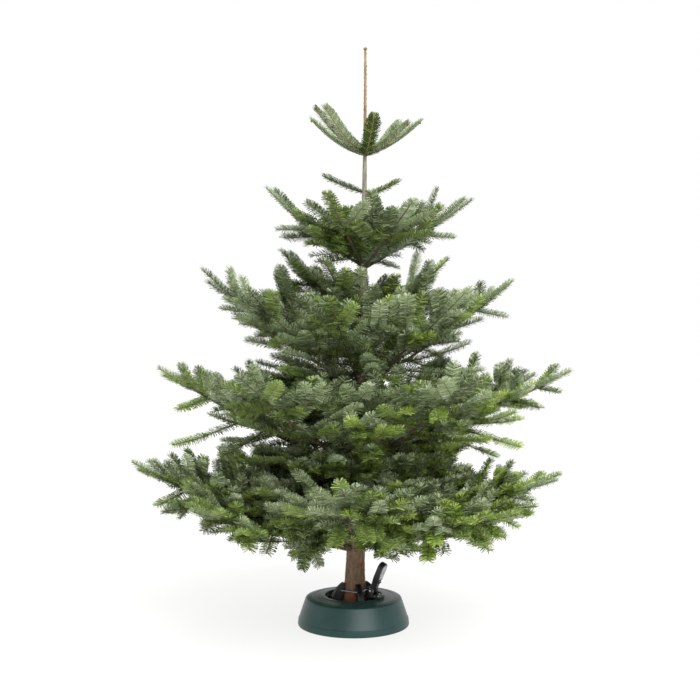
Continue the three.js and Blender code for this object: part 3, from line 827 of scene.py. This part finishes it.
tubes = []
for k, (tier, place, years, reach, bearing) in enumerate(boughs):
    s = np.linspace(0, 1, 10 * years + 1)
    line = np.array([place(t) for t in s])
    ahead = unit(np.gradient(line, axis=0))
    side = unit(np.cross(ahead, SKY))
    over = np.cross(side, ahead)
    short = reach < SHORT_REACH and years > 1 and tier != "tier2"
    thick = BOUGH_FOOT[tier] * (SHORT_BOUGH if short else 1)
    # The radius falls to the tip's, and flares by a quarter where the bough leaves the stem.
    taper = BOUGH_TIP + (thick - BOUGH_TIP) * (1 - s) ** 0.9 + 0.25 * thick * np.exp(-s * 40)
    turn = np.linspace(0, 1, BOUGH_SIDES, endpoint=False)[None, :]
    ridges = 0.09 * rough(turn, s[:, None], 6, 14 * years, 100 + k)
    scales = 0.05 * rough(turn, s[:, None], 12, 30 * years, k)
    r = (taper[:, None] * (1 + ridges + scales))[..., None]
    a = 2 * np.pi * turn[..., None]
    ring = line[:, None] + r * np.cos(a) * side[:, None] + r * np.sin(a) * over[:, None]
    tubes.append((ring.reshape(-1, 3), tube_faces(len(s), BOUGH_SIDES, flip=True), 0))
limbs = joined("boughs", tubes, [shaded_bough_bark])
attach(limbs, "tree")
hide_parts(*[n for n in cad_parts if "_bough_" in n])

TWIG_SIDES = 5
TWIG_TIP, TWIG_A_YEAR = 0.0011, 0.0006
side_twigs = np.flatnonzero(order > 1)  # the first order are the boughs, and the leader
s = np.array([0.0, 0.5, 1.0])
i = np.repeat(side_twigs, len(s))
at, ahead = on_curve(i, np.tile(s, len(side_twigs)))
side = unit(np.cross(ahead, up[i]))
over = np.cross(side, ahead)
thick = TWIG_TIP + TWIG_A_YEAR * age[i] * np.where(order[i] == 2, 1.3, 0.9)
thick += 0.0004 * (1 - np.tile(s, len(side_twigs)))
a = 2 * np.pi * np.arange(TWIG_SIDES) / TWIG_SIDES
ring = at[:, None] + thick[:, None, None] * (
    np.cos(a)[None, :, None] * side[:, None] + np.sin(a)[None, :, None] * over[:, None]
)
tube, twig_points = tube_faces(len(s), TWIG_SIDES, flip=True), len(s) * TWIG_SIDES
faces = [[v + k * twig_points for v in f] for k in range(len(side_twigs)) for f in tube]
which = np.repeat(np.where(age[side_twigs] == 0, 1, 0), len(tube))
twigs = make_piece("twigs", ring.reshape(-1, 3), faces, [old_twig, young_twig], which)
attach(twigs, "tree")

# ------ tree: needles
# Flat blunt needles about 25 mm long and 3 mm wide, combed to the two sides and the top of the
# shoot. The upper face is a glossy green, the under face paler with its two waxy bands.

NEEDLE_WIDE = 0.0030
PER_METRE = np.array([1820, 1380, 560, 160, 0, 0])  # needles on a shoot, by its age in years
# How the needles stand: how many for the usual one, their length, their lean off the shoot, the
# furthest they roll round it from straight up, and less than 1 where they crowd to that side.
BRUSH = {
    "leader": (0.40, 0.011, 24, 178, 1.0),
    "tier1": (4.0, 0.0290, 60, 100, 0.9),
    "odd": (3.0, 0.0250, 60, 120, 0.9),
    "tier2": (1.1, 0.0250, 75, 116, 0.6),
    "tier3": (1.0, 0.0250, 75, 116, 0.6),
    "tier4": (1.0, 0.0245, 75, 116, 0.6),
    "tier5": (1.0, 0.0245, 75, 116, 0.6),
    "hanging": (1.0, 0.0240, 70, 116, 0.6),
}
many, long_needle, off_shoot, furthest, crowding = np.array([BRUSH[t] for t in tier_of]).T
# Needles have a waxy skin, satin in the light. Each shoot is dealt one family of greens, and each
# of its needles one of three colours of it: a dark one that is painted shade on the upper face, a
# light one that is painted light on it, and the pale under face, made paler as a painted highlight.
SPRAY_GREENS = {
    "waxy": ("#576643", "#9CAB82", "#C6D1B0"),
    "fresh": ("#455727", "#869B50", "#B6C888"),
    "yellow": ("#516626", "#A1B858", "#CDD992"),
    "shaded": ("#262F16", "#4A582B", "#6E7C4C"),
}
needle_finishes = [
    finish(f"fir needle {family} {shade}", colour, Roughness=0.4, IOR=1.45)[0]
    for family, shades in SPRAY_GREENS.items()
    for shade, colour in zip(("dark", "light", "under"), shades)
]

MOST_NEEDLES = 92_000  # about how many a piece may have
SHADED_AGE, SHADED_REACH, BARE_REACH, BARE_SHARE = 2, 0.13, 0.12, 0.45
SHORT_SHOOT, NEEDLE_FOOT, NEEDLE_TIP = 0.05, 0.35, 0.42
# Painted light and shade: a low draw gives the painted-shade colour, a middle one the painted-light
# colour and a high one the under face with its painted highlight.
PAINTED_SHADE_TO, PAINTED_LIGHT_TO = 0.42, 0.88  # a needle's draw for its shade, which rises with the roll to the top

reach_of = np.hypot((foot[:, 0] + tip[:, 0]) / 2 - stem_x(foot[:, 2]), (foot[:, 1] + tip[:, 1]) / 2)
level = (tip[:, 2] - 0.2) / 1.2
rightward, frontward = np.cos(np.radians(bearing_of)), -np.sin(np.radians(bearing_of))
luck = rng.random(len(shoots))
# Shoots that climb show their waxy under faces from outside, flat ones their green upper faces.
# The lowest are the yellowest, most of all on the right and least at the front; on the right this is
# partly a real yellow tint and partly painted light, for the key light comes from that side. Shoots
# two years old or close to the stem are in the shade, and their darkest family is painted shade.
climb = (tip - foot)[:, 2] / long
waxy_share = np.clip(0.17 + 0.2 * level + 0.75 * climb + 0.3 * (level > 1), 0.12, 0.8)
# On the right the yellow family is painted light as well as a yellow tint.
yellow_tint_and_painted_light_share = np.clip(0.40 - 0.58 * level + 0.3 * rightward - 0.2 * frontward, 0.0, 0.6)
family = np.where(dealt < waxy_share, 0, np.where(dealt > 1 - yellow_tint_and_painted_light_share, 2, 1))
# Painted shade: the darkest family, for old shoots and those close to the stem.
in_shade = (age >= SHADED_AGE) | (reach_of < SHADED_REACH * (1.3 - level))
family = np.where(in_shade, 3, family)


def needles(name, mine, replaced):
    """All the needles on the shoots numbered mine, as one mesh of slender blunt blades.

    Needle k of a shoot sits at a share (k + 1/2) / count of it, give or take a fifth of the step.
    It leaves at a roll from straight up of furthest x f^crowding, f spread evenly by the golden
    ratio between -1 and 1, so that most lie to the sides, and leans forward, the most on top.
    Its corners are 0.35 of its width either side of its foot and 0.42 either side of its tip,
    turned a little against each other."""
    metres = PER_METRE[np.minimum(age[mine], 5)] * many[mine]
    shade = np.where(reach_of[mine] < BARE_REACH, BARE_SHARE, 1.0)
    counts = np.round(long[mine] * metres * shade).astype(int)
    i = np.repeat(mine, counts)
    k = np.arange(len(i)) - np.repeat(np.cumsum(counts) - counts, counts)
    total = np.repeat(counts, counts)
    s = (k + 0.5 + rng.uniform(-0.2, 0.2, len(i))) / total
    at, ahead = on_curve(i, s)
    side = unit(np.cross(ahead, up[i]))
    over = np.cross(side, ahead)
    f = (k * 0.6180339 + luck[i]) % 1 * 2 - 1
    roll = np.sign(f) * np.abs(f) ** crowding[i] * np.radians(furthest[i])
    out = np.cos(roll)[:, None] * over + np.sin(roll)[:, None] * side
    topness = np.clip(np.cos(roll), 0, 1)
    lean = np.radians(off_shoot[i] * (1 - 0.3 * topness) + rng.normal(0, 3, len(i)))
    nearly = np.clip((s - 0.85) / 0.15, 0, 1)
    lean *= 1 - 0.4 * nearly
    aim = unit(np.cos(lean)[:, None] * ahead + np.sin(lean)[:, None] * out + 0.08 * over)
    size = long_needle[i] * (1 - 0.2 * topness) * (1 - 0.3 * nearly)
    size *= 0.6 + 0.4 * np.clip(s / 0.12, 0, 1)
    size *= rng.uniform(0.9, 1.06, len(i)) * np.where(long[i] < SHORT_SHOOT, 0.85, 1)
    face = unit(over - aim * np.sum(over * aim, 1, keepdims=True))
    twist = rng.normal(0, 0.3, len(i))[:, None]
    turn = twist + rng.normal(0, 0.25, len(i))[:, None]
    across = np.cross(aim, face)
    foot_edge = (across * np.cos(twist) + face * np.sin(twist)) * NEEDLE_WIDE * NEEDLE_FOOT
    tip_edge = (across * np.cos(turn) + face * np.sin(turn)) * NEEDLE_WIDE * NEEDLE_TIP
    start = at + out * 0.001
    end = start + aim * size[:, None]
    corners = np.stack([start - foot_edge, start + foot_edge, end + tip_edge, end - tip_edge], 1)
    faces = (np.arange(len(i))[:, None, None] * 4 + [[0, 1, 2], [0, 2, 3]]).reshape(-1, 3)
    # Half of the draw is the shoot's own, so whole sprays come out in painted shade or in painted
    # light, and needles rolled to the shoot's top are drawn lighter, a painted light from above.
    painted_light_and_shade_draw = 0.5 * rng.random(len(i)) + 0.5 * luck[i] + 0.2 * topness
    shade = np.where(painted_light_and_shade_draw < PAINTED_SHADE_TO, 0, np.where(painted_light_and_shade_draw < PAINTED_LIGHT_TO, 1, 2))
    which = np.repeat(family[i] * 3 + shade, 2)
    made = make_piece(name, corners.reshape(-1, 3), faces, needle_finishes, which)
    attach(made, "tree")
    if replaced:
        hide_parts(*replaced)


def cad_nodes(*starts):
    """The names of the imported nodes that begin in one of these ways."""
    return [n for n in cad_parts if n.startswith(starts)]


for group, (tiers, masses) in {
    "top": (("leader", "tier1", "odd"), ("top_shoot", "odd_shoot")),
    "tier_2": (("tier2",), ("tier2_spray", "inner_mass_2")),
    "tier_3": (("tier3",), ("tier3_spray", "inner_mass_3")),
    "tier_4": (("tier4",), ("tier4_spray", "inner_mass_4")),
    "tier_5": (("tier5", "hanging"), ("tier5_spray",)),
}.items():
    mine = np.flatnonzero(np.isin(tier_of, tiers))
    mine = mine[np.argsort(bearing_of[mine] % 360, kind="stable")]
    running = np.cumsum(long[mine] * PER_METRE[np.minimum(age[mine], 5)] * many[mine])
    pieces = int(running[-1] // MOST_NEEDLES) + 1
    ends = np.searchsorted(running, running[-1] * np.arange(1, pieces) / pieces)
    for k, part in enumerate(np.split(mine, ends)):
        needles(f"needles_{group}_{k + 1}", part, [] if k else cad_nodes(*masses))

# ------ tree: buds
# Next year's buds, blunt, brown and a little resinous: one at the tip of each young shoot, and a
# ring of them round the tips of the top whorl and the leader.

BUD_LONG, BUD_R, BUD_SIDES, BUDS_ROUND = 0.0045, 0.0017, 6, 4

# Overlapping bud scales under a thin coat of resin: a light and a dark brown in small flecks.
BUD_BROWNS = ("#84704A", "#6B5836", "#9C865C")
bud_brown = mottled("resinous fir bud", BUD_BROWNS, 900.0, 2.0, Roughness=0.5, IOR=1.5)[0]

top = np.isin(tier_of, ("tier1", "leader"))
tips = np.flatnonzero((age == 0) & (order < 4))
single = np.concatenate([tips, np.repeat(np.flatnonzero(top), BUDS_ROUND)])
number = np.concatenate([np.full(len(tips), -1), np.tile(np.arange(BUDS_ROUND), int(top.sum()))])
at, ahead = on_curve(single, np.ones(len(single)))
side = unit(np.cross(ahead, up[single]))
over = np.cross(side, ahead)
spin = number * 2 * np.pi / BUDS_ROUND + 0.6
ringed = (number >= 0)[:, None]
out = np.cos(spin)[:, None] * side + np.sin(spin)[:, None] * over
aim = np.where(ringed, unit(0.75 * ahead + 0.66 * out), ahead)
at = at + np.where(ringed, out * 0.0012 - ahead * 0.002, -ahead * 0.0004)
big = np.where(tier_of[single] == "leader", 1.9, np.where(top[single], 1.5, 1.0))[:, None, None]
across = unit(np.cross(aim, up[single] + 0.01))
third = np.cross(across, aim)
# Along its length t a bud's radius is BUD_R times 0.7, 1, 0.75 and 0.12 at t of 0, 0.35, 0.75 and 1.
t = np.array([0, 0.35, 0.75, 1.0])[None, :, None, None]
swell = np.array([0.7, 1.0, 0.75, 0.12])[None, :, None, None]
a = (2 * np.pi * np.arange(BUD_SIDES) / BUD_SIDES)[None, None, :, None]
rim = np.cos(a) * across[:, None, None] + np.sin(a) * third[:, None, None]
points = at[:, None, None] + big[..., None] * (t * BUD_LONG * aim[:, None, None] + swell * BUD_R * rim)
bud, bud_points = tube_faces(swell.size, BUD_SIDES, flip=True), swell.size * BUD_SIDES
faces = [[v + bud_points * k for v in f] for k in range(len(single)) for f in bud]
buds = make_piece("buds", points.reshape(-1, 3), faces, [bud_brown])
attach(buds, "tree")

# ------ floor, light and camera
# A white studio: a pale floor lit from below, an even white surround, one large soft light from
# above on the right, and a camera a little over 3 m away at about half the tree's height.

FLOOR_SIDE, FLOOR_BACK, FLOOR_GLOW = 9, 30, 0.78
SUN_STRENGTH, SUN_SOFTNESS, SUN_TURN = 3.4, 52, (40, 24, 0)
CAMERA_PLACE, CAMERA_TILT, LENS, SENSOR = (-0.0112, -3.232, 0.860), 0.227, 51.94, 36

floor_white, _, shader = finish("white studio floor lit from below", "#6E6E6C", Roughness=0.9)
shader.inputs["Emission Color"].default_value = linear("#FFFFFF")
shader.inputs["Emission Strength"].default_value = FLOOR_GLOW
side, back = FLOOR_SIDE, FLOOR_BACK
floor_corners = [(-side, -side, 0), (side, -side, 0), (side, back, 0), (-side, back, 0)]
floor = make_piece("floor", floor_corners, [(0, 1, 2, 3)], [floor_white])

world = bpy.data.worlds.new("white surround")
world.use_nodes = True
surround = world.node_tree.nodes["Background"].inputs
surround["Color"].default_value, surround["Strength"].default_value = (1, 1, 1, 1), 1.0
bpy.context.scene.world = world

sun_data = bpy.data.lights.new("soft key", "SUN")
sun_data.energy, sun_data.angle = SUN_STRENGTH, math.radians(SUN_SOFTNESS)
sun = in_scene("soft key", sun_data)
sun.rotation_euler = [math.radians(turn) for turn in SUN_TURN]

camera_data = bpy.data.cameras.new("camera")
camera_data.sensor_width = SENSOR
camera_data.lens = LENS
camera = in_scene("camera", camera_data)
camera.location = CAMERA_PLACE
camera.rotation_euler = (math.radians(90 + CAMERA_TILT), 0, 0)
bpy.context.scene.camera = camera
bpy.context.scene.view_settings.view_transform = "Standard"
